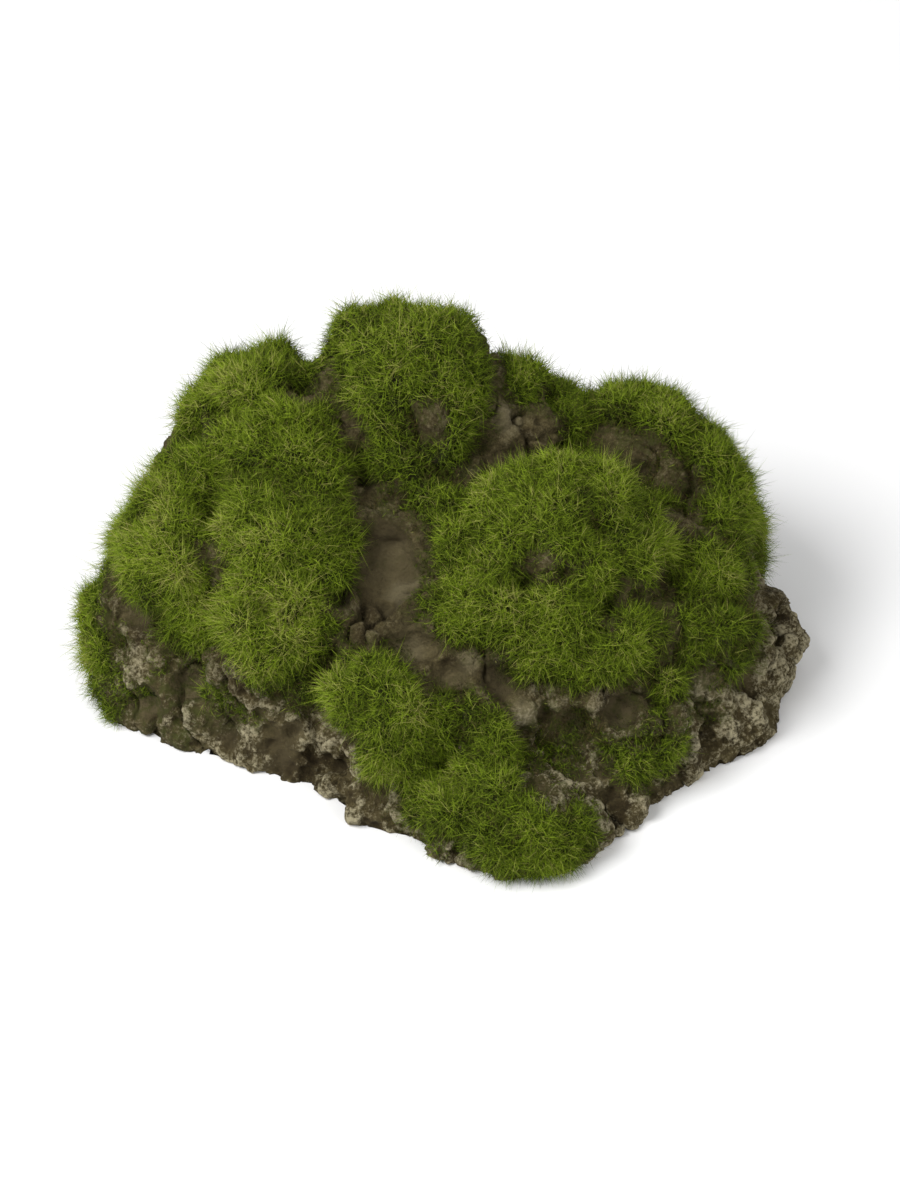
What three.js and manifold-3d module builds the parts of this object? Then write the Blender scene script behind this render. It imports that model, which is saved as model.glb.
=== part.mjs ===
// A moss-covered cave rock for an aquarium. A hollow polyresin casting, open underneath and with a
// cave mouth at the back, carries separate pads of flocked nylon moss, each glued onto one mound.
// Millimetres, +Z up. X runs along the long side, and -Y is the side that faces the viewer.
import * as THREE from "three";
import { mergeVertices } from "three/addons/utils/BufferGeometryUtils.js";
import Module from "manifold-3d";

const wasm = await Module();
wasm.setup();

// ---------------------------------------------------------------- driving dimensions
const WALL = 7; // least thickness of the cast wall
const CAVE_ROOF = 80; // the cave is no higher than this
const PILE = 5; // height of a moss pad above the resin
const GLUE_GAP = 0.8; // clearance between the resin and the underside of a pad
const PAD_GAP = 1.2; // bare line between two neighbouring pads
const MOSS_FOOT = 2.5; // the pads stop this far above the ground
const LUMP_FILLET = 9; // radius of the fillet between two lumps
const HOLLOW_LIP = 4; // radius of the lip round a hollow
const FARTHEST = 150; // no point of the rock lies further from the middle than this

const ROCK_DETAIL = 15; // subdivisions of the icosahedron behind the rock and the moss
const CAVE_DETAIL = 6; // the same for the cave
const CONE_SIDES = 14;
const VENT_SIDES = 10;

const MOUTH = { x: 18, width: 54, height: 38, spring: 14, from: 30, to: 130, bareRim: 4 };

// Small holes that let trapped air out: a point that each one passes.
const VENT_RADIUS = 2;
const VENT_POINTS = [
  [52, -33, 57],
  [40, -21, 72],
  [7, 5, 78],
  [-81, 36, 87],
];

// Waves that roughen the smooth lumps: distance between crests, and height.
const RIPPLES = [
  { pitch: 46, height: 1.8 },
  { pitch: 23, height: 1.1 },
];

// ---------------------------------------------------------------- the shape of the rock
// Lumps of the casting: centre and radii.
const LUMPS = [
  { at: [0, 10, 0], radii: [92, 60, 72] },
  // crown and back ridge
  { at: [-14, 50, 88], radii: [24, 25, 25] },
  { at: [-28, 56, 95], radii: [13, 14, 17] },
  { at: [2, 54, 93], radii: [14, 14, 18] },
  { at: [-4, 33, 70], radii: [20, 20, 20] },
  { at: [20, 50, 72], radii: [18, 20, 20] },
  { at: [-59, 49, 77], radii: [24, 22, 22] },
  { at: [-79, 38, 64], radii: [17, 20, 20] },
  { at: [28, 61, 70], radii: [16, 16, 13] },
  { at: [63, 55, 62], radii: [23, 18, 16] },
  { at: [81, 42, 53], radii: [18, 18, 17] },
  { at: [88, 36, 42], radii: [15, 18, 18] },
  // left side
  { at: [-50, 28, 70], radii: [23, 22, 22] },
  { at: [-51, 4, 53], radii: [25, 22, 25] },
  { at: [-55, -17, 34], radii: [22, 20, 24] },
  { at: [-89, 14, 46], radii: [17, 24, 24] },
  { at: [-103, 10, 22], radii: [16, 20, 21] },
  { at: [-88, -4, 16], radii: [19, 18, 20] },
  // middle and front
  { at: [-18, -42, 30], radii: [20, 20, 24] },
  { at: [14, -46, 24], radii: [14, 18, 20] },
  { at: [25, -73, 5], radii: [27, 20, 18] },
  { at: [40, 4, 58], radii: [30, 29, 30] },
  { at: [14, 6, 52], radii: [19, 22, 24] },
  { at: [52, -18, 40], radii: [26, 22, 24] },
  { at: [22, -16, 40], radii: [20, 20, 23] },
  // right side
  { at: [80, 14, 42], radii: [18, 20, 20] },
  { at: [84, -8, 28], radii: [21, 20, 22] },
  { at: [56, -36, 18], radii: [24, 18, 20] },
  { at: [100, 12, 13], radii: [18, 22, 18] },
  // bare skirt round the base
  { at: [91, -18, 3], radii: [19, 18, 14] },
  { at: [66, -37, 2], radii: [18, 15, 13] },
  { at: [52, -57, 2], radii: [15, 14, 12] },
  { at: [-94, -6, 4], radii: [20, 16, 15] },
  { at: [-72, -17, 4], radii: [22, 17, 14] },
  { at: [-46, -29, 4], radii: [20, 17, 14] },
  { at: [-17, -52, 3], radii: [19, 19, 13] },
  { at: [4, -64, 3], radii: [15, 16, 12] },
  // back
  { at: [-56, 64, 34], radii: [32, 24, 34] },
  { at: [-4, 72, 44], radii: [34, 20, 38] },
  { at: [56, 64, 30], radii: [32, 24, 32] },
  { at: [-88, 42, 24], radii: [22, 22, 24] },
  { at: [84, 48, 22], radii: [20, 20, 24] },
];

// Hollows weathered into the casting: centre and radii. No pad covers one.
const HOLLOWS = [
  { at: [-18, -20, 74], radii: [14, 18, 22] }, // deep one in the middle
  { at: [-8, -44, 53], radii: [11, 14, 12] }, // below it
  { at: [18, -52, 45], radii: [9, 10, 9] }, // under the dome
  { at: [28, 42, 97], radii: [14, 16, 12] }, // saddle right of the crown
  { at: [62, 32, 80], radii: [26, 9, 14] }, // trough behind the dome
  { at: [-42, 48, 102], radii: [8, 8, 8] }, // left of the crown
  { at: [-110, -6, 40], radii: [8, 12, 14] }, // left edge
  { at: [-102, -24, 24], radii: [9, 9, 8] },
  { at: [-74, -38, 15], radii: [9, 8, 8] },
  { at: [-44, -50, 12], radii: [10, 7, 9] },
  { at: [53, -66, 15], radii: [6, 10, 12] },
  { at: [61, -53, 32], radii: [8, 9, 5] },
];
const HOLLOW_BARE_SHARE = 0.8; // share of a hollow's width that stays bare

// Moss pads. Each is the union of round patches: a point near the skin, and the patch's radius.
const PADS = {
  moss_crown: [
    [-27, 44, 106, 20],
    [-1, 44, 106, 17],
    [-14, 62, 100, 22],
    [-14, 22, 92, 15],
    [2, 14, 82, 11],
  ],
  moss_upper_left: [[-60, 46, 96, 19], [-79, 34, 84, 16], [-66, 62, 84, 16]],
  moss_left_ridge: [[-50, 20, 89, 18], [-54, -2, 76, 23], [-59, -24, 56, 20], [-52, -36, 40, 12]],
  moss_left_slope: [[-93, 17, 68, 17], [-98, 2, 56, 15], [-88, -11, 44, 11]],
  moss_left_rim: [[-116, 12, 30, 9], [-116, 0, 20, 9]],
  moss_front_left: [[-26, -53, 46, 16], [-12, -60, 29, 15]],
  moss_front_middle: [[13, -56, 37, 9], [15, -67, 27, 11]],
  moss_front_apex: [[20, -87, 16, 14], [37, -88, 12, 13], [7, -78, 20, 11], [-8, -72, 13, 9]],
  moss_dome: [[26, -1, 84, 21], [53, -6, 81, 22], [7, -3, 76, 15], [69, -8, 64, 13]],
  moss_dome_front: [[11, -27, 62, 15], [38, -33, 57, 18], [62, -35, 52, 13]],
  moss_right_slope: [[91, -21, 42, 17], [88, -4, 53, 12]],
  moss_front_right: [[66, -51, 22, 13], [46, -46, 35, 10], [77, -39, 32, 11], [44, -58, 27, 10]],
  moss_right_shoulder: [[92, 38, 66, 16], [98, 24, 56, 13]],
  moss_back_ridge: [[43, 61, 80, 11], [60, 60, 78, 13], [77, 56, 75, 14]],
  moss_saddle: [[24, 58, 90, 9]],
  moss_back_left: [[-50, 86, 50, 20], [-72, 76, 38, 18], [-34, 90, 62, 15]],
  moss_back_middle: [[-4, 90, 68, 17], [-14, 94, 48, 15], [-8, 88, 58, 20]],
  moss_back_right: [[54, 84, 46, 17], [72, 76, 34, 15], [46, 84, 58, 12]],
  moss_left_back: [[-106, 44, 40, 14], [-104, 52, 26, 12], [-110, 34, 34, 11]],
  moss_right_back: [[100, 50, 32, 12], [102, 42, 22, 10]],
};

function ellipsoidDistance(point, { at, radii }) {
  const [x, y, z] = [point.x - at[0], point.y - at[1], point.z - at[2]];
  const near = Math.hypot(x / radii[0], y / radii[1], z / radii[2]);
  const slope = Math.hypot(x / radii[0] ** 2, y / radii[1] ** 2, z / radii[2] ** 2);
  return slope > 0 ? (near * (near - 1)) / slope : -Math.min(...radii);
}

function smoothMin(a, b, radius) {
  const share = Math.max(radius - Math.abs(a - b), 0) / radius;
  return Math.min(a, b) - (share * share * radius) / 4;
}

// Below zero inside the rock.
function rockDistance(point) {
  const [core, ...others] = LUMPS;
  let distance = ellipsoidDistance(point, core);
  for (const lump of others) {
    distance = smoothMin(distance, ellipsoidDistance(point, lump), LUMP_FILLET);
  }
  for (const hollow of HOLLOWS) {
    distance = -smoothMin(-distance, ellipsoidDistance(point, hollow), HOLLOW_LIP);
  }
  return distance;
}

function ripple(point) {
  let height = 0;
  for (const wave of RIPPLES) {
    const k = (2 * Math.PI) / wave.pitch;
    height +=
      wave.height *
      Math.sin(k * point.x + Math.sin(0.7 * k * point.y)) *
      Math.cos(k * point.y + Math.sin(0.8 * k * point.z)) *
      Math.sin(k * point.z + Math.sin(0.6 * k * point.x) + 1);
  }
  return height;
}

// Distance from the middle to the rock's skin along a unit direction: a walk inwards from outside,
// then a bisection of the last millimetre.
function rockRadius(direction) {
  const point = new THREE.Vector3();
  const isOutside = (radius) => rockDistance(point.copy(direction).multiplyScalar(radius)) > 0;
  let outer = FARTHEST;
  while (isOutside(outer - 1)) outer -= 1;
  let inner = outer - 1;
  for (let i = 0; i < 10; i++) {
    const middle = (inner + outer) / 2;
    if (isOutside(middle)) outer = middle;
    else inner = middle;
  }
  return inner + ripple(point.copy(direction).multiplyScalar(inner));
}

// Distance from the middle to the cave's wall. It keeps WALL from the thinnest place near its
// direction, and below the ground it mirrors the part above, so the wall meets the ground upright.
function caveRadius(direction) {
  const look = new THREE.Vector3(direction.x, direction.y, Math.abs(direction.z));
  const tiltAxis = new THREE.Vector3(0.3, 0.9, 0.2).cross(look).normalize();
  const tilt = new THREE.Quaternion().setFromAxisAngle(tiltAxis, 0.14);
  let thinnest = rockRadius(look);
  for (let i = 0; i < 6; i++) {
    const turn = new THREE.Quaternion().setFromAxisAngle(look, (i * Math.PI) / 3);
    const neighbour = look.clone().applyQuaternion(tilt).applyQuaternion(turn);
    neighbour.z = Math.abs(neighbour.z);
    thinnest = Math.min(thinnest, rockRadius(neighbour));
  }
  return Math.min(thinnest - WALL, CAVE_ROOF / Math.max(look.z, 0.01));
}

// ---------------------------------------------------------------- solids
function toManifold(geometry) {
  const bare = geometry.clone();
  bare.deleteAttribute("normal");
  bare.deleteAttribute("uv");
  const merged = mergeVertices(bare, 1e-4);
  return new wasm.Manifold(
    new wasm.Mesh({
      numProp: 3,
      vertProperties: merged.attributes.position.array,
      triVerts: new Uint32Array(merged.index.array),
    }),
  );
}

function toGeometry(solid) {
  const mesh = solid.getMesh();
  const geometry = new THREE.BufferGeometry();
  geometry.setAttribute("position", new THREE.BufferAttribute(mesh.vertProperties, 3));
  geometry.setIndex(new THREE.BufferAttribute(mesh.triVerts, 1));
  geometry.computeVertexNormals();
  return geometry;
}

const union = (solids) => solids.reduce((joined, solid) => joined.add(solid));

// An icosahedral ball whose vertices stand for directions from the middle.
function directionBall(detail) {
  const ball = new THREE.IcosahedronGeometry(1, detail);
  ball.deleteAttribute("normal");
  ball.deleteAttribute("uv");
  return mergeVertices(ball, 1e-4);
}

function radiiOf(ball, radiusAlong) {
  const position = ball.attributes.position;
  return Array.from({ length: position.count }, (_, i) =>
    radiusAlong(new THREE.Vector3().fromBufferAttribute(position, i).normalize()),
  );
}

function starSolid(ball, radii) {
  const star = ball.clone();
  const position = star.attributes.position;
  const point = new THREE.Vector3();
  radii.forEach((radius, i) => {
    point.fromBufferAttribute(position, i).setLength(radius);
    position.setXYZ(i, point.x, point.y, point.z);
  });
  return toManifold(star);
}

function spaceAbove(height) {
  const side = 4 * FARTHEST;
  return toManifold(new THREE.BoxGeometry(side, side, side).translate(0, 0, side / 2 + height));
}

function turnedTowards(geometry, at) {
  const up = new THREE.Vector3(0, 1, 0);
  const turn = new THREE.Quaternion().setFromUnitVectors(up, new THREE.Vector3(...at).normalize());
  return toManifold(geometry.applyQuaternion(turn));
}

// A round cone that opens from the middle and has the given radius where it passes a point.
function cone(at, radius) {
  const height = 2 * FARTHEST;
  const body = new THREE.ConeGeometry((radius * height) / Math.hypot(...at), height, CONE_SIDES);
  return turnedTowards(body.rotateX(Math.PI).translate(0, height / 2, 0), at);
}

function ventPin(at, radius) {
  const pin = new THREE.CylinderGeometry(radius, radius, FARTHEST, VENT_SIDES);
  return turnedTowards(pin.translate(0, FARTHEST / 2, 0), at);
}

function archway({ x, width, height, spring, from, to }, margin) {
  const half = width / 2 + margin;
  const arch = new THREE.Shape();
  arch.moveTo(-half, -spring);
  arch.lineTo(half, -spring);
  arch.lineTo(half, spring);
  arch.absellipse(0, spring, half, height + margin - spring, 0, Math.PI, false);
  const depth = to - from;
  const tunnel = new THREE.ExtrudeGeometry(arch, { depth, bevelEnabled: false, curveSegments: 8 });
  return toManifold(tunnel.rotateX(Math.PI / 2).translate(x, to, 0));
}

// ---------------------------------------------------------------- the casting
const rockBall = directionBall(ROCK_DETAIL);
const rockRadii = radiiOf(rockBall, rockRadius);

function offsetRock(offset) {
  return starSolid(rockBall, rockRadii.map((radius) => radius + offset));
}

function rockShell() {
  const caveBall = directionBall(CAVE_DETAIL);
  return offsetRock(0)
    .intersect(spaceAbove(0))
    .subtract(starSolid(caveBall, radiiOf(caveBall, caveRadius)))
    .subtract(archway(MOUTH, 0))
    .subtract(union(VENT_POINTS.map((at) => ventPin(at, VENT_RADIUS))));
}

// ---------------------------------------------------------------- the moss
// A layer of moss over the whole rock, without the places that stay bare.
function mossLayer() {
  const hollows = HOLLOWS.map(({ at, radii }) =>
    cone(at, HOLLOW_BARE_SHARE * Math.min(radii[0], radii[2])),
  );
  const vents = VENT_POINTS.map((at) => ventPin(at, VENT_RADIUS + 1));
  return offsetRock(PILE)
    .subtract(offsetRock(GLUE_GAP))
    .intersect(spaceAbove(MOSS_FOOT))
    .subtract(union([...hollows, ...vents, archway(MOUTH, MOUTH.bareRim)]));
}

function padReach(patches, margin) {
  return union(patches.map(([x, y, z, radius]) => cone([x, y, z], radius + margin)));
}

// The offcuts that a hollow or a neighbour leaves of a pad are dropped.
function largestPiece(solid) {
  return solid.decompose().sort((a, b) => b.volume() - a.volume())[0];
}

// ---------------------------------------------------------------- the assembly
function piece(name, solid, look) {
  const mesh = new THREE.Mesh(toGeometry(solid), new THREE.MeshStandardMaterial(look));
  mesh.name = name;
  return mesh;
}

const resin = { color: 0x8c8270, roughness: 0.92, metalness: 0 };
const flock = { color: 0x55741f, roughness: 0.9, metalness: 0 };

const ornament = new THREE.Group();
ornament.add(piece("rock_shell", rockShell(), resin));

const moss = new THREE.Group();
let free = mossLayer();
for (const [name, patches] of Object.entries(PADS)) {
  moss.add(piece(name, largestPiece(free.intersect(padReach(patches, 0))), flock));
  free = free.subtract(padReach(patches, PAD_GAP));
}
ornament.add(moss);

// The origin is the middle of the bounding box's bottom.
const bounds = new THREE.Box3().setFromObject(ornament);
const centre = bounds.getCenter(new THREE.Vector3());
ornament.position.set(-centre.x, -centre.y, -bounds.min.z);

export default ornament;
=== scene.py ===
"""Looks of the aquarium cave rock: a pitted polyresin shell under mounds of flocked moss.

All lengths are in metres, in the frame of the CAD model: +Z up from the ground, +X along the
long side to the viewer's right, +Y away from the viewer. The CAD rock is copied, smoothed and
roughened, and each CAD moss pad is replaced by a glued ground with thousands of fibres.
"""
import copy
import itertools
import math

import bmesh
import bpy
import numpy as np
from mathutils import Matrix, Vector
from mathutils.bvhtree import BVHTree


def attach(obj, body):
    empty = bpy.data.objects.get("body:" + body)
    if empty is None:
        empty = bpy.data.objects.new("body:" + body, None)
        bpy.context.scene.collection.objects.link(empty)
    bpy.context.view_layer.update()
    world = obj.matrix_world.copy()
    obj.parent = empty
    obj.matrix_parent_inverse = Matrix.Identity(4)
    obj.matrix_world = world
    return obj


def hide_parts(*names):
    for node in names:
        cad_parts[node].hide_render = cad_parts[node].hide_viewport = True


MM = 0.001

# view and light
VIEW_ELEVATION = math.radians(40)
VIEW_TARGET = Vector((4.0 * MM, 0, 41.0 * MM))
VIEW_DISTANCE = 2.0
FRAME_HEIGHT = 396 * MM  # what the taller side of the picture spans at the target
SENSOR = 36.0
WORLD_STRENGTH = 0.55
KEY_POWER = 28.0
FILL_POWER = 6.5

# rock skin
MIDDLE = Vector((2.5 * MM, 0.9 * MM, 0))  # the shell is star-shaped around this point
FINE_VOXEL = 0.8 * MM
FINE_ROUNDS = 50  # rounds of smoothing, enough to lose the CAD facets
GROUND_VOXEL = 1.8 * MM
GROUND_ROUNDS = 10
MOUND_SPACING = 14 * MM
MOUND_HEIGHT = 3.8 * MM
MOUND_DROP = 0.6  # how far the flanks lie below the CAD surface, as a share of the height
HOLE_SPACING = 21 * MM  # between the small round hollows that are scattered over the casting
HOLE_DEPTH = 4.0 * MM
FULL_HOLLOW = 3.5 * MM  # depth from which a dent counts as a full hollow
RIM = 1.2 * MM  # below this height the skin stays on the ground
SKIN_TRIANGLES = 190000
MOSS_CALM = 0.25  # share of the roughness that is left under moss
FULL_RELIEF = 1.7 * MM  # height at which the material's relief value is 1

# moss
FIBRES_PER_MM2 = 8.0
FIBRE_LENGTH = 4.6 * MM
FIBRE_RADIUS = 0.105 * MM
CORNERS = 5  # points of one fibre: a foot, a ring of three round the knee, and a tip
MOST_FIBRES = 31500  # on one pad
EDGE_WIDTH = 6.5 * MM  # where the moss thins out towards bare rock
STRAY_WIDTH = 5.0 * MM  # how far single fibres stray onto the bare rock
GAP_REACH = 1.6 * MM  # two pads closer than twice this have no bare rock between them
OVERHANG = 1.6 * MM  # how far the moss spreads past the outline of its CAD pads
GROUND_HEIGHT = 1.2 * MM  # of the glued ground over the rock
GROUND_START = 1.6 * MM  # depth inside the moss where the ground begins
GROUND_DEPTH = 0.6 * MM  # how far it reaches into the rock, so that no slit shows
MAP_SPLIT = 0.4  # v of the map below which the ground lies, and at the fibres' roots

# Places on the outside: a point on the CAD rock and a radius, in millimetres. The third number of
# a dent is its depth in millimetres, and that of a thin place is the share of moss that is missing.
DENTS = (
    ((-17, -7, 61), 17, 3.5), ((-18, 0, 67), 9, 2.0), ((-16, -17, 52), 4, 2.5),
    ((-8, -31, 48), 10, 3.0), ((21, -42, 41), 9, 2.5), ((25, 29, 76), 10, 2.5),
    ((55, -24, 62), 8, 5.0), ((60, -45, 32), 8, 4.5), ((4, -56, 19), 10, 3.5),
    ((-69, -30, 11), 9, 2.0), ((-53, -42, 10), 12, 2.5),
)
THIN = (
    ((88, -25, 37), 20, 0.5), ((83, -28, 21), 15, 0.8), ((67, -46, 28), 15, 1.0),
    ((40, -47, 23), 13, 0.9), ((27, -49, 35), 13, 0.9), ((54, -43, 34), 11, 1.0),
    ((73, -30, 46), 10, 0.7), ((-46, 39, 94), 8, 0.8), ((-29, 34, 88), 10, 0.8),
    ((-3, 29, 95), 8, 0.8), ((-26, 14, 73), 11, 0.9), ((54, 47, 71), 10, 0.9),
    ((66, 41, 69), 13, 0.9), ((80, 30, 63), 10, 0.8), ((14, 34, 86), 10, 0.9),
    ((25, 28, 74), 11, 0.9), ((11, 18, 78), 9, 0.7), ((39, -73, 21), 9, 0.7),
)
# Painted shade and light on the bare casting: darker brown where shade falls in dents, pits and under
# overhangs, paler where light falls. 1 is the darkest brown and -1 the palest.
SHADE_AND_LIGHT_PATCHES = (
    ((-17, 3, 70), 10, 0.9), ((-25, -6, 63), 6, 0.6), ((-27, -20, 56), 8, 0.5),
    ((-12, -12, 57), 8, -0.8), ((-16, -17, 52), 5, 1.6), ((-1, -24, 58), 6, 0.9),
    ((-9, -33, 46), 7, -0.5), ((21, -41, 43), 8, 0.9), ((11, -37, 47), 7, -0.6),
    ((28, -50, 34), 7, -0.7), ((66, 41, 69), 13, 0.5), ((90, -24, 36), 20, -0.6),
    ((22, 38, 87), 7, -0.6), ((-69, -30, 11), 9, 0.5), ((-53, -42, 10), 11, 0.5),
    ((62, -45, 31), 8, 0.7), ((51, -53, 18), 7, 0.6), ((-100, -10, 22), 9, 0.4),
    ((86, -42, 12), 9, 0.4),
)
# Places where the moss is worn through.
WORN = (
    ((-24, 15, 71), 6), ((-28, 33, 87), 5), ((-46, 39, 94), 4), ((-2, 29, 94), 4),
    ((58, 46, 71), 4), ((66, 41, 69), 6), ((75, 35, 66), 4), ((85, 30, 64), 3),
    ((72, -12, 58), 4), ((62, -45, 31), 3), ((53, -29, 53), 1), ((80, -41, 27), 3),
    ((51, -53, 18), 4), ((36, -76, 21), 3), ((88, -30, 33), 3), ((-92, 14, 60), 2),
    ((12, 20, 78), 3), ((-109, 10, 39), 3), ((-106, 4, 36), 3), ((-102, -4, 32), 3),
    ((-92, -13, 31), 3), ((-88, -18, 26), 3), ((-103, 10, 46), 2), ((-98, -14, 16), 3),
    ((-30, -22, 55), 4), ((2, -35, 47), 4), ((12, -38, 46), 4), ((20, -43, 41), 5),
    ((-16, 12, 73), 5), ((105, 25, 34), 7), ((101, 24, 42), 4), ((27, -49, 35), 5),
    ((40, -42, 33), 4), ((33, -45, 34), 4), ((54, -43, 34), 4), ((4, -56, 19), 2),
)
# Places where moss has spread over bare rock. The third number is the most that a point in them
# counts as inside the moss, in millimetres: the lower, the sparser.
SPREAD = (
    ((-106, -4, 28), 4, 2.5), ((-98, -21, 9), 9, 2.5), ((-108, -11, 12), 8, 2.5),
    ((-87, -20, 20), 8, 2.5), ((-74, -26, 20), 7, 2.5), ((-87, -13, 31), 8, 2.5),
    ((-79, -17, 30), 8, 2.5), ((-65, -30, 17), 5, 2.5), ((40, -54, 16), 8, 2.5),
    ((34, -47, 25), 8, 2.5), ((50, -50, 25), 7, 2.5), ((4, -49, 39), 6, 2.5),
    ((-3, -66, 15), 8, 2.5), ((11, -60, 31), 7, 2.5), ((27, -60, 23), 9, 2.5),
    ((87, -27, 21), 5, 2.5), ((67, -40, 36), 8, 2.5), ((-3, -10, 67), 6, 2.5),
    ((-4, -25, 58), 4, 2.5), ((67, -53, 13), 6, 2.5), ((100, 12, 49), 8, 2.5),
    ((-107, -13, 5), 7, 6), ((-100, -20, 5), 7, 6), ((-94, -24, 5), 6, 5),
    ((-105, -16, 11), 7, 5), ((-111, -6, 8), 7, 6), ((-88, -26, 5), 5, 3),
)

# ---------------------------------------------------------------- noise


def turned(points, seed):
    """The points turned by a fixed random rotation, which hides the grid of the noise."""
    matrix = np.linalg.qr(np.random.default_rng(seed).normal(size=(3, 3)))[0]
    return points @ matrix


def noise(points, size, seed, channels=1):
    """Smooth noise from -1 to 1 that varies over `size` metres."""
    table = np.random.default_rng(seed).uniform(-1, 1, (32, 32, 32, channels))
    scaled = turned(points, seed) / size
    cell = np.floor(scaled).astype(int)
    share = scaled - cell
    share = share * share * (3 - 2 * share)
    total = np.zeros((len(points), channels))
    for corner in itertools.product((0, 1), repeat=3):
        weight = np.prod(np.where(corner, share, 1 - share), axis=1)
        i, j, k = ((cell + corner) % 32).T
        total += weight[:, None] * table[i, j, k]
    return total if channels > 1 else total[:, 0]


def dots(points, spacing, radii, seed):
    """1 at scattered dots, 0 at their radius (a share of the spacing) and below 0 beyond it."""
    rng = np.random.default_rng(seed)
    jitter = rng.uniform(0.15, 0.85, (16, 16, 16, 3))
    radius = rng.uniform(*radii, (16, 16, 16))
    scaled = turned(points, seed) / spacing
    base = np.floor(scaled).astype(int)
    nearest = np.full(len(points), 9.0)
    for offset in itertools.product((-1, 0, 1), repeat=3):
        cell = base + offset
        i, j, k = (cell % 16).T
        away = np.linalg.norm(scaled - cell - jitter[i, j, k], axis=1)
        nearest = np.minimum(nearest, away / radius[i, j, k])
    return 1 - nearest**2


def near(points, places):
    """The strength of ragged round places at each point, added up."""
    ragged = points + noise(points, 6 * MM, 61, 3) * 1.8 * MM
    total = np.zeros(len(points))
    for place, radius, strength in places:
        away = np.linalg.norm(ragged - np.array(place) * MM, axis=1) / (radius * MM)
        total += strength * np.clip(1 - away**2, 0, 1) ** 1.5
    return total


def ramp(value, low, high):
    """0 below low, 1 above high, with a soft change between them."""
    share = np.clip((value - low) / (high - low), 0, 1)
    return share * share * (3 - 2 * share)


# ---------------------------------------------------------------- meshes


def add_object(name, mesh):
    thing = bpy.data.objects.new(name, mesh)
    bpy.context.scene.collection.objects.link(thing)
    return thing


def triangle_mesh(name, points, triangles):
    mesh = bpy.data.meshes.new(name)
    mesh.vertices.add(len(points))
    mesh.vertices.foreach_set("co", points.astype(np.float32).ravel())
    mesh.loops.add(len(triangles) * 3)
    mesh.loops.foreach_set("vertex_index", triangles.astype(np.int32).ravel())
    mesh.polygons.add(len(triangles))
    mesh.polygons.foreach_set("loop_start", np.arange(0, len(triangles) * 3, 3, dtype=np.int32))
    mesh.update(calc_edges=True)
    return mesh


def with_modifiers(thing):
    """A new mesh with the thing's modifiers applied."""
    seen = thing.evaluated_get(bpy.context.evaluated_depsgraph_get())
    return bpy.data.meshes.new_from_object(seen)


def remeshed(node, voxel):
    """A welded voxel remesh of a CAD node, as triangles."""
    mesh = node.data.copy()
    work = bmesh.new()
    work.from_mesh(mesh)
    bmesh.ops.remove_doubles(work, verts=work.verts, dist=0.01 * MM)
    work.to_mesh(mesh)
    work.free()
    thing = add_object("remesh_work", mesh)
    modifier = thing.modifiers.new("remesh", "REMESH")
    modifier.mode = "VOXEL"
    modifier.voxel_size = voxel
    thing.modifiers.new("triangles", "TRIANGULATE")
    result = with_modifiers(thing)
    bpy.data.objects.remove(thing)
    return result


def positions(mesh):
    co = np.empty(len(mesh.vertices) * 3, np.float32)
    mesh.vertices.foreach_get("co", co)
    return co.reshape(-1, 3).astype(float)


def triangles_of(mesh):
    corners = np.empty(len(mesh.loops), np.int32)
    mesh.loops.foreach_get("vertex_index", corners)
    return corners.reshape(-1, 3)


def edges_of(mesh):
    ends = np.empty(len(mesh.edges) * 2, np.int32)
    mesh.edges.foreach_get("vertices", ends)
    return ends.reshape(-1, 2)


def unit(vectors):
    return vectors / np.maximum(np.linalg.norm(vectors, axis=1, keepdims=True), 1e-12)


def normals_of(points, triangles):
    """Vertex normals, weighted by area."""
    a, b, c = (points[triangles[:, i]] for i in range(3))
    face = np.cross(b - a, c - a)
    total = np.zeros_like(points)
    for corner in range(3):
        for axis in range(3):
            total[:, axis] += np.bincount(triangles[:, corner], face[:, axis], len(points))
    return total / np.maximum(np.linalg.norm(total, axis=1, keepdims=True), 1e-20)


def relaxed(points, edges, rounds):
    """Smoothed points. The flat rim stays on the ground."""
    count = len(points)
    a, b = edges.T
    degree = np.bincount(edges.ravel(), minlength=count)[:, None]
    on_ground = points[:, 2] < RIM
    points = points.copy()
    for _ in range(rounds):
        total = np.empty_like(points)
        for axis in range(3):
            total[:, axis] = np.bincount(a, points[b, axis], count)
            total[:, axis] += np.bincount(b, points[a, axis], count)
        points = (points + total / degree) / 2
        points[on_ground, 2] = 0
    return points


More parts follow.
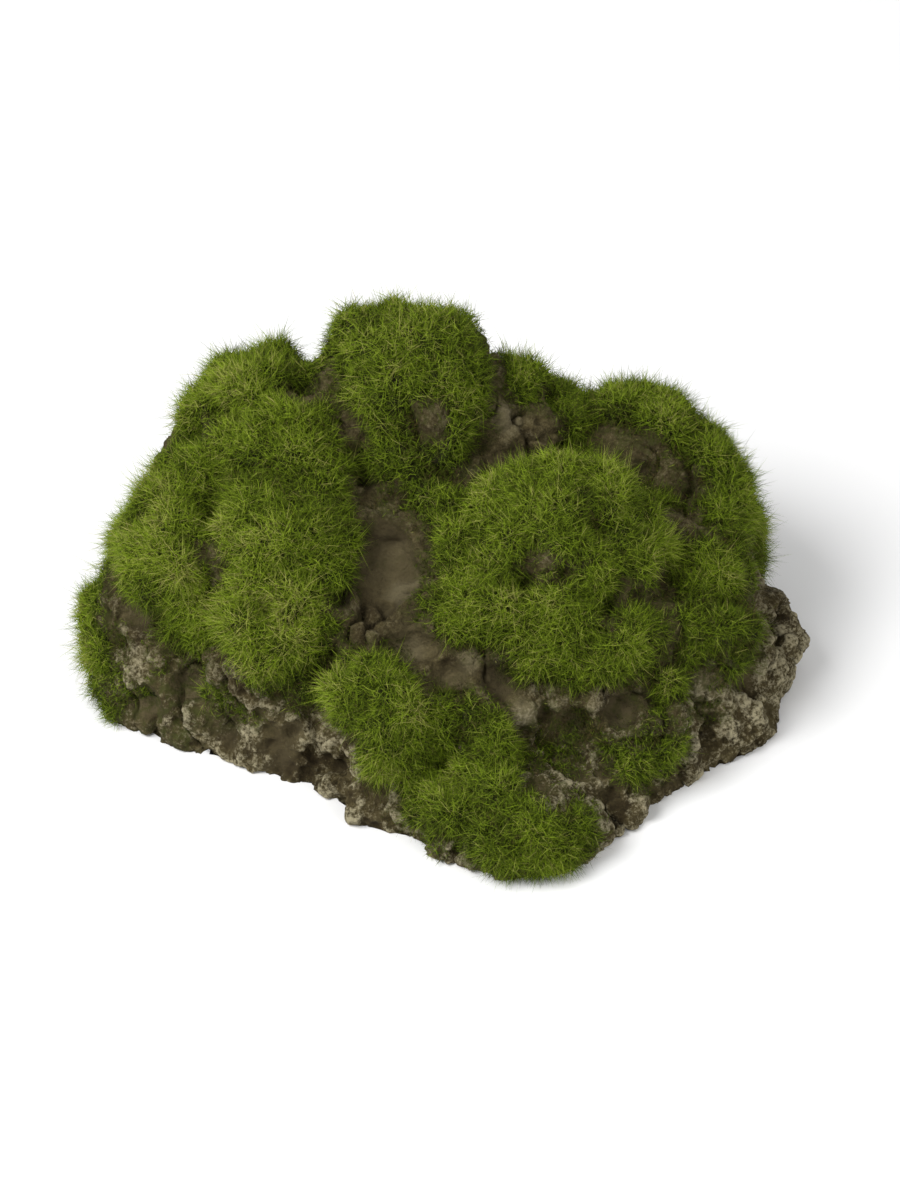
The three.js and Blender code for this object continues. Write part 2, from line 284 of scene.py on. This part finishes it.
class Skin:
    """A smooth closed skin of the CAD rock, as arrays."""

    def __init__(self, node, voxel, rounds):
        mesh = remeshed(node, voxel)
        self.triangles = triangles_of(mesh)
        self.edges = edges_of(mesh)
        self.points = relaxed(positions(mesh), self.edges, rounds)
        self.normals = normals_of(self.points, self.triangles)
        facing = np.einsum("ij,ij->i", unit(self.points - np.array(MIDDLE)), self.normals)
        self.outward = ramp(facing, 0, 0.35)  # 0 on the wall of the cave
        holes = np.clip(dots(self.points, HOLE_SPACING, (0.22, 0.4), 59), 0, 1) * HOLE_DEPTH
        self.dents = (near(self.points, DENTS) * MM + holes) * self.outward
        self.hollow = np.clip(self.dents / FULL_HOLLOW, 0, 1)
        spread = [(place, radius, 0.45) for place, radius, _ in SPREAD]
        self.worn = np.clip(near(self.points, THIN), 0, 1)
        self.thin = np.clip(self.worn + near(self.points, spread), 0, 1)
        self.level = mounds(self.points) * self.outward
        bpy.data.meshes.remove(mesh)

    def swell(self, height):
        """Moves the skin outward by height; what is on the ground stays on it."""
        moved = self.points + self.normals * height[:, None]
        low = ramp(self.points[:, 2], 0, 2.5 * MM)
        moved[:, 2] = np.maximum(self.points[:, 2] * (1 - low) + moved[:, 2] * low, 0)
        self.points = moved
        self.normals = normals_of(moved, self.triangles)

    def walk(self, start, labels=None, rounds=16):
        """How far each point is from the nearest start point, along the skin, and its label."""
        a, b = self.edges.T
        step = np.linalg.norm(self.points[a] - self.points[b], axis=1)
        away = np.where(start, 0.0, 1.0)
        labels = None if labels is None else labels.copy()
        for _ in range(rounds):
            for here, there in ((a, b), (b, a)):
                reach = away[here] + step
                better = reach < away[there]
                np.minimum.at(away, there[better], reach[better])
                if labels is not None:
                    best = better & (reach <= away[there])
                    labels[there[best]] = labels[here[best]]
        return away, labels


# ---------------------------------------------------------------- where the moss is


def pad_tree(pads):
    """One search tree of all CAD moss pads, and the pad that each of its faces belongs to."""
    points, faces, owners = [], [], []
    for number, pad in enumerate(pads):
        first = len(points)
        points += [tuple(v.co) for v in pad.data.vertices]
        faces += [tuple(first + i for i in p.vertices) for p in pad.data.polygons]
        owners += [number] * len(pad.data.polygons)
    return BVHTree.FromPolygons(points, faces), owners


def pads_over(skin, tree, owners):
    """The number of the pad over each point of the skin, or -1 where it is bare."""
    labels = np.full(len(skin.points), -1)
    below, reach = 2 * MM, 6.5 * MM
    for i, (point, normal) in enumerate(zip(skin.points, skin.normals)):
        out = (Vector(point) - MIDDLE).normalized()
        if out.dot(Vector(normal)) > 0.05:  # not the wall of the cave
            hit = tree.ray_cast(Vector(point) - out * below, out, reach)[2]
            if hit is not None:
                labels[i] = owners[hit]
    return labels


def moss_map(skin, labels):
    """The nearest pad, and how far inside the moss each point is (below 0 on bare rock)."""
    covered = labels >= 0
    outside, nearest = skin.walk(covered, labels)
    bare = outside > GAP_REACH
    inside, _ = skin.walk(bare)
    inside = np.where(bare, -outside, inside - GAP_REACH) + OVERHANG
    for place, radius, most in SPREAD:
        away = np.linalg.norm(skin.points - np.array(place) * MM, axis=1)
        inside = np.maximum(inside, np.minimum(radius * MM - away, most * MM))
    for place, radius in WORN:
        away = np.linalg.norm(skin.points - np.array(place) * MM, axis=1)
        inside = np.minimum(inside, away - radius * MM)
    inside += 2.8 * MM * noise(skin.points, 9 * MM, 51) + 1.7 * MM * noise(skin.points, 3.5 * MM, 52)
    inside -= 7 * MM * skin.worn * ramp(noise(skin.points, 5 * MM, 58), -0.1, 0.6)
    return nearest, inside


def mounds(points):
    """From -2.9 at the bottom of the sharp creases to 0.9 on top of the rounded mounds."""
    warped = points + noise(points, 12 * MM, 55, 3) * 3 * MM
    large = dots(warped, MOUND_SPACING, (0.7, 0.95), 53)
    small = dots(warped, MOUND_SPACING * 0.45, (0.6, 0.9), 54)
    upright = warped * [1, 1, 0.5]  # the creases run down the slopes
    creases = ramp(-np.abs(noise(upright, 10 * MM, 56)), -0.16, -0.01)
    creases *= ramp(noise(points, 20 * MM, 57), -0.35, 0.15)
    return np.clip(large, -0.6, 1) + 0.5 * np.clip(small, -0.6, 1) - MOUND_DROP - 1.4 * creases


# ---------------------------------------------------------------- rock


def rock_relief(points, calm):
    """How far the casting's surface stands out at each point."""
    warped = points + noise(points, 4.5 * MM, 11, 3) * 1.2 * MM
    ridges = 1 - 2.4 * np.abs(noise(warped, 11 * MM, 12))
    creases = 1 - 2.4 * np.abs(noise(warped, 5 * MM, 13))
    rough = 0.60 * noise(warped, 2.6 * MM, 14) + 0.50 * noise(points, 1.5 * MM, 17)
    wide_pits = np.clip(dots(warped, 9 * MM, (0.1, 0.45), 15), 0, 1)
    small_pits = np.clip(dots(warped, 3.6 * MM, (0.1, 0.5), 16), 0, 1)
    sharp = 1 - 2.4 * np.abs(noise(warped, 2.8 * MM, 18))
    relief = 0.75 * ridges + 0.70 * creases + 0.45 * sharp + 0.9 * rough
    relief -= 1.5 * wide_pits + 0.8 * small_pits
    relief *= 0.55 + 0.45 * ramp(-points[:, 2], -45 * MM, -20 * MM)
    return relief * MM * (1 - (1 - MOSS_CALM) * calm)


def decimated(mesh, keep_weight, target):
    """The mesh with about `target` triangles, most of them where keep_weight is high."""
    thing = add_object("decimate_work", mesh)
    group = thing.vertex_groups.new(name="keep")
    for level in np.unique(keep_weight):
        group.add(np.nonzero(keep_weight == level)[0].tolist(), float(level), "REPLACE")
    modifier = thing.modifiers.new("decimate", "DECIMATE")
    modifier.ratio = min(1.0, target / len(mesh.polygons))
    modifier.vertex_group = "keep"
    modifier.invert_vertex_group = True
    modifier.vertex_group_factor = 3.0
    modifier.use_collapse_triangulate = True
    result = with_modifiers(thing)
    bpy.data.objects.remove(thing)
    return result


def store(mesh, name, values):
    attribute = mesh.attributes.new(name, "FLOAT", "POINT")
    attribute.data.foreach_set("value", values.astype(np.float32))


def make_rock(skin, inside):
    calm = np.maximum(ramp(inside, -1.5 * MM, 2 * MM), 0.75 * skin.hollow)
    relief = rock_relief(skin.points, calm)
    hidden = (inside > 3 * MM) | (skin.outward == 0)
    skin.swell(relief)
    mesh = triangle_mesh("rock", skin.points, skin.triangles)
    store(mesh, "relief", relief / FULL_RELIEF)
    store(mesh, "moss", ramp(inside, -7 * MM, 0.5 * MM))
    store(mesh, "hollow", skin.hollow)
    # painted shade and painted light, stored for the material
    store(mesh, "shade_and_light", near(skin.points, SHADE_AND_LIGHT_PATCHES) * skin.outward)
    mesh = decimated(mesh, np.where(hidden, 0.0, 1.0), SKIN_TRIANGLES)
    rock = add_object("rock_skin", mesh)
    rock.data.materials.append(rock_material())
    return rock


# ---------------------------------------------------------------- moss


def ground_mesh(skin, nearest, inside, number):
    """The glued ground of one pad: a closed skin whose edge dives into the rock."""
    owned = (nearest[skin.triangles] == number).sum(axis=1) >= 2
    solid = (inside > GROUND_START) & (skin.thin < 0.25)
    faces = skin.triangles[owned & solid[skin.triangles].all(axis=1)]
    used, faces = np.unique(faces, return_inverse=True)
    faces = faces.reshape(-1, 3)
    points, normals = skin.points[used], skin.normals[used]
    sides = np.concatenate([faces[:, [0, 1]], faces[:, [1, 2]], faces[:, [2, 0]]])
    keys = {tuple(side) for side in sides.tolist()}
    rim = np.array([side for side in keys if side[::-1] not in keys]).reshape(-1, 2)
    lift = ramp(inside[used], GROUND_START, EDGE_WIDTH) * (1 + 0.45 * noise(points, 4 * MM, 21))
    lift[np.unique(rim)] = 0
    top = points + normals * (lift * (GROUND_HEIGHT + 0.3 * MM) - 0.3 * MM)[:, None]
    bottom = points - normals * GROUND_DEPTH
    top[:, 2] = np.maximum(top[:, 2], 0)
    bottom[:, 2] = np.maximum(bottom[:, 2], 0)
    count = len(used)
    a, b = rim.T
    walls = np.concatenate([np.stack([b, a, a + count], 1), np.stack([b, a + count, b + count], 1)])
    return np.concatenate([top, bottom]), np.concatenate([faces, faces[:, ::-1] + count, walls])


class Roots:
    """Random points of one pad's skin, where its fibres are rooted."""

    def __init__(self, skin, nearest, inside, number, rng):
        owned = (nearest[skin.triangles] == number).sum(axis=1) >= 2
        corners = skin.triangles[owned]
        a, b, c = (skin.points[corners[:, i]] for i in range(3))
        area = np.linalg.norm(np.cross(b - a, c - a), axis=1) / 2
        depth, thin, hollow = (v[corners].mean(axis=1) for v in (inside, skin.thin, skin.hollow))
        middle = (a + b + c) / 3
        clump = 1 + 0.35 * noise(middle, 5 * MM, 31) + 0.25 * noise(middle, 14 * MM, 32)
        edge = ramp(depth, -STRAY_WIDTH, 0) * 0.22 + ramp(depth, -0.5 * MM, EDGE_WIDTH) * 0.78
        weight = area * clump * edge * (1 - 0.65 * thin) * (1 - 0.15 * hollow)
        weight *= middle[:, 2] > 1.5 * MM
        self.count = min(MOST_FIBRES, int(weight.sum() / MM**2 * FIBRES_PER_MM2))
        chosen = np.searchsorted(np.cumsum(weight), rng.uniform(0, weight.sum(), self.count))
        self.corners = corners[np.minimum(chosen, len(corners) - 1)]
        share = np.sort(rng.uniform(0, 1, (self.count, 2)), axis=1)
        self.share = np.stack([share[:, 0], share[:, 1] - share[:, 0], 1 - share[:, 1]], 1)
        self.points = self.at(skin.points)
        self.normals = unit(self.at(skin.normals))
        self.level, self.thin = self.at(skin.level), self.at(skin.thin)
        self.hollow, self.inside = self.at(skin.hollow), self.at(inside)

    def at(self, values):
        """The skin's values at the roots."""
        return np.einsum("ij,ij...->i...", self.share, values[self.corners])


def fibre_mesh(roots, rng):
    """Closed slender spindles, five points and six triangles each, bent at the middle."""
    count, normals = roots.count, roots.normals
    full = ramp(roots.inside, -1 * MM, EDGE_WIDTH)
    lean = 0.35 * noise(roots.points, 2.5 * MM, 33, 3) + 0.30 * noise(roots.points, 13 * MM, 34, 3)
    lean += 1.2 * rng.normal(size=(count, 3))
    aim = unit(normals + lean + np.array([0, 0, 0.1]))
    aim = unit(aim + normals * np.maximum(0.12 - np.einsum("ij,ij->i", aim, normals), 0)[:, None])
    length = FIBRE_LENGTH * (0.38 + 0.62 * full) * rng.uniform(0.65, 1.12, count)
    length *= 1 + 0.16 * noise(roots.points, 4.5 * MM, 35) + 0.30 * roots.level
    length *= (1 - 0.45 * roots.thin) * (1 - 0.4 * roots.hollow)
    stray = rng.random(count) < 0.012
    length[stray] *= rng.uniform(1.2, 1.6, stray.sum())
    bend = rng.normal(size=(count, 3)) * 0.48 + np.array([0, 0, -0.06])
    along = aim * length[:, None]
    foot = roots.points + normals * (0.3 * MM + 0.45 * GROUND_HEIGHT * full)[:, None]
    knee = foot + along * 0.5
    tip = foot + along + bend * length[:, None]
    across = unit(np.cross(aim, rng.normal(size=(count, 3))))
    beside = np.cross(aim, across)
    radius = (FIBRE_RADIUS * rng.uniform(0.75, 1.25, count))[:, None]
    ring = [
        knee + radius * (math.cos(turn) * across + math.sin(turn) * beside)
        for turn in (0, 2 * math.pi / 3, 4 * math.pi / 3)
    ]
    points = np.stack([foot, *ring, tip], 1)
    points[:, :, 2] = np.maximum(points[:, :, 2], 0)
    pattern = np.array([[0, 2, 1], [0, 3, 2], [0, 1, 3], [4, 1, 2], [4, 2, 3], [4, 3, 1]])
    triangles = (np.arange(count)[:, None, None] * CORNERS + pattern).reshape(-1, 3)
    return points.reshape(-1, 3), triangles


def fibre_tones_and_shade(roots, rng):
    """From 0, dead brown, over olive and green to 1, pale straw. Painted light and shade are added in:
    brighter on the mound tops and to the left, darker in the valleys, the hollows and to the right.
    """
    tone = 0.53 + 0.10 * noise(roots.points, 22 * MM, 41) + 0.17 * noise(roots.points, 7 * MM, 42)
    tone += 0.16 * noise(roots.points, 2.2 * MM, 43)
    # painted light on the mound tops, painted shade in the valleys and towards the right
    tone += 0.26 * roots.level - 0.06 * roots.points[:, 0] / (100 * MM)
    tone += rng.normal(size=roots.count) * 0.17
    tone -= 0.26 * (1 - ramp(roots.inside, -2 * MM, EDGE_WIDTH))
    # the thin places are sparse brown moss; the hollows get painted shade
    tone -= 0.22 * roots.thin + 0.10 * roots.hollow
    pale = rng.random(roots.count) < 0.015
    tone[pale] = rng.uniform(0.85, 1.0, pale.sum())
    return np.clip(tone, 0.01, 0.99)


def fibre_uv(tones_and_shade, roots):
    """The map's u is the fibre's tone. Its v runs from root to tip, less far in the hollows and
    valleys, which paints shade on the fibres there.
    """
    half = 0.003
    u = np.stack([tones_and_shade, tones_and_shade - half, tones_and_shade, tones_and_shade + half, tones_and_shade], 1)
    # painted shade: in hollows and valleys the fibres stop short of the bright end of the map
    light = 1 - 0.55 * roots.hollow + 0.14 * np.minimum(roots.level, 0)
    v = np.array([0.0, 0.5, 0.5, 0.5, 1.0]) * light[:, None]
    return np.stack([u, MAP_SPLIT + (1 - MAP_SPLIT) * v], 2)


def ground_uv(points):
    """The lower share of the map shows the ground from above."""
    return (points[:, :2] * 3 + 0.5) * [1, MAP_SPLIT - 0.05]


def make_moss(pad, number, skin, ground, materials):
    """The piece that replaces one CAD pad. Each skin comes with its nearest pads and depths."""
    rng = np.random.default_rng(1000 + number)
    fine, nearest, inside = skin
    bed, bed_faces = ground_mesh(*ground, number)
    roots = Roots(fine, nearest, inside, number, rng)
    points, faces = fibre_mesh(roots, rng)
    mesh = triangle_mesh(
        pad.name, np.concatenate([bed, points]), np.concatenate([bed_faces, faces + len(bed)])
    )
    for material in materials:
        mesh.materials.append(material)
    index = np.zeros(len(mesh.polygons), np.int32)
    index[len(bed_faces) :] = 1
    mesh.polygons.foreach_set("material_index", index)
    uv = np.empty((len(mesh.loops), 2), np.float32)
    strip = fibre_uv(fibre_tones_and_shade(roots, rng), roots).reshape(-1, 2)
    uv[: len(bed_faces) * 3] = ground_uv(bed)[bed_faces.ravel()]
    uv[len(bed_faces) * 3 :] = strip[faces.ravel()]
    mesh.uv_layers.new(name="OFBake").data.foreach_set("uv", uv.ravel())
    piece = add_object(pad.name + "_flock", mesh)
    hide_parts(pad.name)
    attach(piece, "root")


# ---------------------------------------------------------------- materials


class Nodes:
    """A material under construction."""

    def __init__(self, name, roughness, specular=0.5):
        self.material = bpy.data.materials.new(name)
        self.material.use_nodes = True
        self.tree = self.material.node_tree
        self.shader = self.tree.nodes["Principled BSDF"]
        self.shader.inputs["Roughness"].default_value = roughness
        self.shader.inputs["Specular IOR Level"].default_value = specular

    def add(self, kind, settings=None, **inputs):
        node = self.tree.nodes.new(kind)
        for name, value in (settings or {}).items():
            setattr(node, name, value)
        for name, value in inputs.items():
            self.feed(node.inputs[name.replace("_", " ")], value)
        return node

    def feed(self, socket, value):
        if isinstance(value, bpy.types.NodeSocket):
            self.tree.links.new(value, socket)
        else:
            socket.default_value = value

    def place(self):
        return self.add("ShaderNodeTexCoord").outputs["Object"]

    def number(self, name):
        return self.add("ShaderNodeAttribute", {"attribute_name": name}).outputs["Fac"]

    def noise(self, size, detail=4.0, roughness=0.55, distortion=0.0):
        return self.add(
            "ShaderNodeTexNoise",
            Vector=self.place(),
            Scale=1 / size,
            Detail=detail,
            Roughness=roughness,
            Distortion=distortion,
        ).outputs["Fac"]

    def math(self, operation, a, b=0.0, clamp=False):
        node = self.add("ShaderNodeMath", {"operation": operation, "use_clamp": clamp})
        self.feed(node.inputs[0], a)
        self.feed(node.inputs[1], b)
        return node.outputs[0]

    def between(self, value, low, high):
        node = self.add("ShaderNodeMapRange", {"interpolation_type": "SMOOTHSTEP"}, Value=value)
        node.inputs["From Min"].default_value = low
        node.inputs["From Max"].default_value = high
        return node.outputs["Result"]

    def mix(self, share, a, b, blend="MIX"):
        node = self.add("ShaderNodeMix", {"data_type": "RGBA", "blend_type": blend})
        self.feed(node.inputs[0], share)
        for socket, value in ((node.inputs[6], a), (node.inputs[7], b)):
            self.feed(socket, (*value, 1) if isinstance(value, tuple) else value)
        return node.outputs[2]

    def colours(self, value, stops):
        node = self.add("ShaderNodeValToRGB", Fac=value)
        elements = node.color_ramp.elements
        while len(elements) < len(stops):
            elements.new(0.5)
        for element, (at, colour) in zip(elements, stops):
            element.position = at
            element.color = (*colour, 1)
        return node.outputs["Color"]

    def bump(self, height, distance, strength=1.0):
        node = self.add("ShaderNodeBump", Height=height, Distance=distance, Strength=strength)
        self.feed(self.shader.inputs["Normal"], node.outputs["Normal"])

    def done(self, colour):
        self.feed(self.shader.inputs["Base Color"], colour)
        return self.material


def rock_material():
    """Brown cast resin, darker in the pits, dry-brushed pale on the ridges, stained green, with
    painted shade in dents and under overhangs and painted light on some lit places.
    """
    nodes = Nodes("pitted_polyresin", 0.9, 0.15)
    height = nodes.add("ShaderNodeSeparateXYZ", Vector=nodes.place()).outputs["Z"]
    foot = nodes.between(height, 50 * MM, 14 * MM)
    relief, hollow = nodes.number("relief"), nodes.number("hollow")
    fine = nodes.noise(1.3 * MM, 5, 0.75)
    patches = nodes.noise(9 * MM, 4, 0.6)
    body = nodes.colours(
        nodes.noise(12 * MM, 6, 0.65, 0.5),
        [(0.32, (0.040, 0.028, 0.011)), (0.50, (0.085, 0.066, 0.027)), (0.70, (0.150, 0.122, 0.056))],
    )
    grains = nodes.colours(fine, [(0.32, (0.30,) * 3), (0.5, (0.85,) * 3), (0.72, (1.35,) * 3)])
    grainy = nodes.math("SUBTRACT", 0.85, nodes.math("MULTIPLY", hollow, 0.5))
    body = nodes.mix(grainy, body, grains, "MULTIPLY")
    body = nodes.mix(nodes.math("MULTIPLY", hollow, 0.55), body, (0.150, 0.122, 0.066))
    # painted light and painted shade: the casting is made paler where light falls and darker where
    # shade falls in dents and under overhangs
    shade_and_light = nodes.number("shade_and_light")
    body = nodes.mix(nodes.math("MULTIPLY", shade_and_light, -0.8, clamp=True), body, (0.250, 0.215, 0.125))
    body = nodes.mix(nodes.math("MULTIPLY", shade_and_light, 0.8, clamp=True), body, (0.036, 0.027, 0.012))
    dark = nodes.between(relief, 0.1, -0.9)
    body = nodes.mix(nodes.math("MULTIPLY", dark, 0.7), body, (0.026, 0.018, 0.008))
    level = nodes.math("MULTIPLY", relief, 0.50)
    level = nodes.math("ADD", level, nodes.math("MULTIPLY", fine, 2.2))
    level = nodes.math("ADD", level, nodes.math("MULTIPLY", patches, 0.5))
    level = nodes.math("SUBTRACT", level, nodes.math("MULTIPLY", hollow, 0.6))
    share = nodes.math("ADD", nodes.math("MULTIPLY", foot, 0.70), 0.18)
    brushed = nodes.math("MULTIPLY", nodes.between(level, 1.35, 2.0), share)
    body = nodes.mix(brushed, body, (0.46, 0.41, 0.26))
    green = nodes.between(nodes.noise(3 * MM, 6, 0.7), 0.40, 0.62)
    green = nodes.math("MULTIPLY", nodes.math("MULTIPLY", nodes.number("moss"), green), 0.8)
    body = nodes.mix(green, body, (0.052, 0.058, 0.012))
    coarse = nodes.math("MULTIPLY", nodes.noise(3.2 * MM, 5, 0.7), 1.5)
    nodes.bump(nodes.math("ADD", coarse, fine), 1.2 * MM, 1.0)
    return nodes.done(body)


def ground_material():
    """The green glue that the fibres stand in, near-black: partly the glue's own colour, partly
    painted shade deep among the fibres.
    """
    nodes = Nodes("moss_ground", 0.9, 0.1)
    # glue green darkened with painted shade
    colour = nodes.colours(
        nodes.noise(5 * MM, 5, 0.6),
        [(0.3, (0.010, 0.009, 0.004)), (0.55, (0.020, 0.024, 0.005)), (0.75, (0.036, 0.046, 0.008))],
    )
    nodes.bump(nodes.noise(0.8 * MM, 4, 0.7), 0.4 * MM, 0.8)
    return nodes.done(colour)


def fibre_material():
    """Nylon fibres. The map's u is the fibre's tone, and its v runs from root to tip. Along v the
    fibres carry painted shade: near-black at the root, half bright at the middle and full colour at
    the tip, for the shade deep in the pile.
    """
    nodes = Nodes("moss_fibres", 0.65, 0.1)
    spot = nodes.add("ShaderNodeUVMap", {"uv_map": "OFBake"}).outputs["UV"]
    spot = nodes.add("ShaderNodeSeparateXYZ", Vector=spot)
    tone = nodes.colours(
        spot.outputs["X"],
        [
            (0.00, (0.150, 0.108, 0.042)),
            (0.18, (0.092, 0.088, 0.017)),
            (0.40, (0.082, 0.116, 0.010)),
            (0.62, (0.184, 0.272, 0.014)),
            (0.82, (0.350, 0.480, 0.030)),
            (1.00, (0.480, 0.460, 0.130)),
        ],
    )
    halfway = (1 + MAP_SPLIT) / 2
    # painted shade along each fibre, darkest at the root
    shade = nodes.colours(
        spot.outputs["Y"],
        [(MAP_SPLIT, (0.08,) * 3), (halfway, (0.56,) * 3), (1.0, (1.0,) * 3)],
    )
    return nodes.done(nodes.mix(1.0, tone, shade, "MULTIPLY"))


def floor_material():
    nodes = Nodes("pale_floor", 0.7, 0.2)
    colour = nodes.colours(nodes.noise(0.6, 2), [(0.3, (0.91, 0.91, 0.91)), (0.7, (0.95, 0.95, 0.95))])
    return nodes.done(colour)


# ---------------------------------------------------------------- stage


def add_camera():
    data = bpy.data.cameras.new("camera")
    data.sensor_width = SENSOR
    data.lens = SENSOR * VIEW_DISTANCE / FRAME_HEIGHT
    data.clip_end = 20
    camera = add_object("camera", data)
    back = Vector((0, -math.cos(VIEW_ELEVATION), math.sin(VIEW_ELEVATION)))
    camera.location = VIEW_TARGET + back * VIEW_DISTANCE
    camera.rotation_euler = (math.pi / 2 - VIEW_ELEVATION, 0, 0)
    bpy.context.scene.camera = camera


def add_area_light(name, place, size, power):
    data = bpy.data.lights.new(name, "AREA")
    data.size = size
    data.energy = power
    light = add_object(name, data)
    light.location = place
    light.rotation_euler = (VIEW_TARGET - Vector(place)).to_track_quat("-Z", "Y").to_euler()


def add_stage():
    floor = add_object("floor", bpy.data.meshes.new("floor"))
    work = bmesh.new()
    bmesh.ops.create_grid(work, x_segments=1, y_segments=1, size=6)
    work.to_mesh(floor.data)
    work.free()
    floor.data.materials.append(floor_material())
    world = bpy.data.worlds.new("studio")
    world.use_nodes = True
    world.node_tree.nodes["Background"].inputs["Color"].default_value = (1, 1, 1, 1)
    world.node_tree.nodes["Background"].inputs["Strength"].default_value = WORLD_STRENGTH
    bpy.context.scene.world = world
    add_area_light("key", (-0.9, -0.55, 1.35), 0.9, KEY_POWER)
    add_area_light("fill", (1.1, -1.0, 0.8), 1.0, FILL_POWER)
    bpy.context.scene.view_settings.view_transform = "Standard"


# ---------------------------------------------------------------- the object

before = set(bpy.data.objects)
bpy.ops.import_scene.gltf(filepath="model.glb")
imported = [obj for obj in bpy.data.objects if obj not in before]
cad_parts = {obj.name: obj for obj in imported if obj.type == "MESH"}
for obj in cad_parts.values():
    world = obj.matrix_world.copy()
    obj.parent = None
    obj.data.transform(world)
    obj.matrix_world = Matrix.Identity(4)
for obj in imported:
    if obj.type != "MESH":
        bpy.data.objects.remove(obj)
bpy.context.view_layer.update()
add_camera()
add_stage()

rock_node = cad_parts["rock_shell"]
pads = [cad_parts[name] for name in sorted(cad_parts) if name.startswith("moss_")]
tree, owners = pad_tree(pads)

fine = Skin(rock_node, FINE_VOXEL, FINE_ROUNDS)
fine_map = moss_map(fine, pads_over(fine, tree, owners))
coarse = Skin(rock_node, GROUND_VOXEL, GROUND_ROUNDS)
coarse_map = moss_map(coarse, pads_over(coarse, tree, owners))
for skin in (fine, coarse):
    level = skin.level * (1 - skin.hollow) - MOUND_DROP * skin.hollow
    skin.swell(MOUND_HEIGHT * level - skin.dents)

rock_skin = copy.copy(fine)
rock = make_rock(rock_skin, fine_map[1])
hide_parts("rock_shell")
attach(rock, "root")

moss_materials = (ground_material(), fibre_material())
for number, pad in enumerate(pads):
    make_moss(pad, number, (fine, *fine_map), (coarse, *coarse_map), moss_materials)
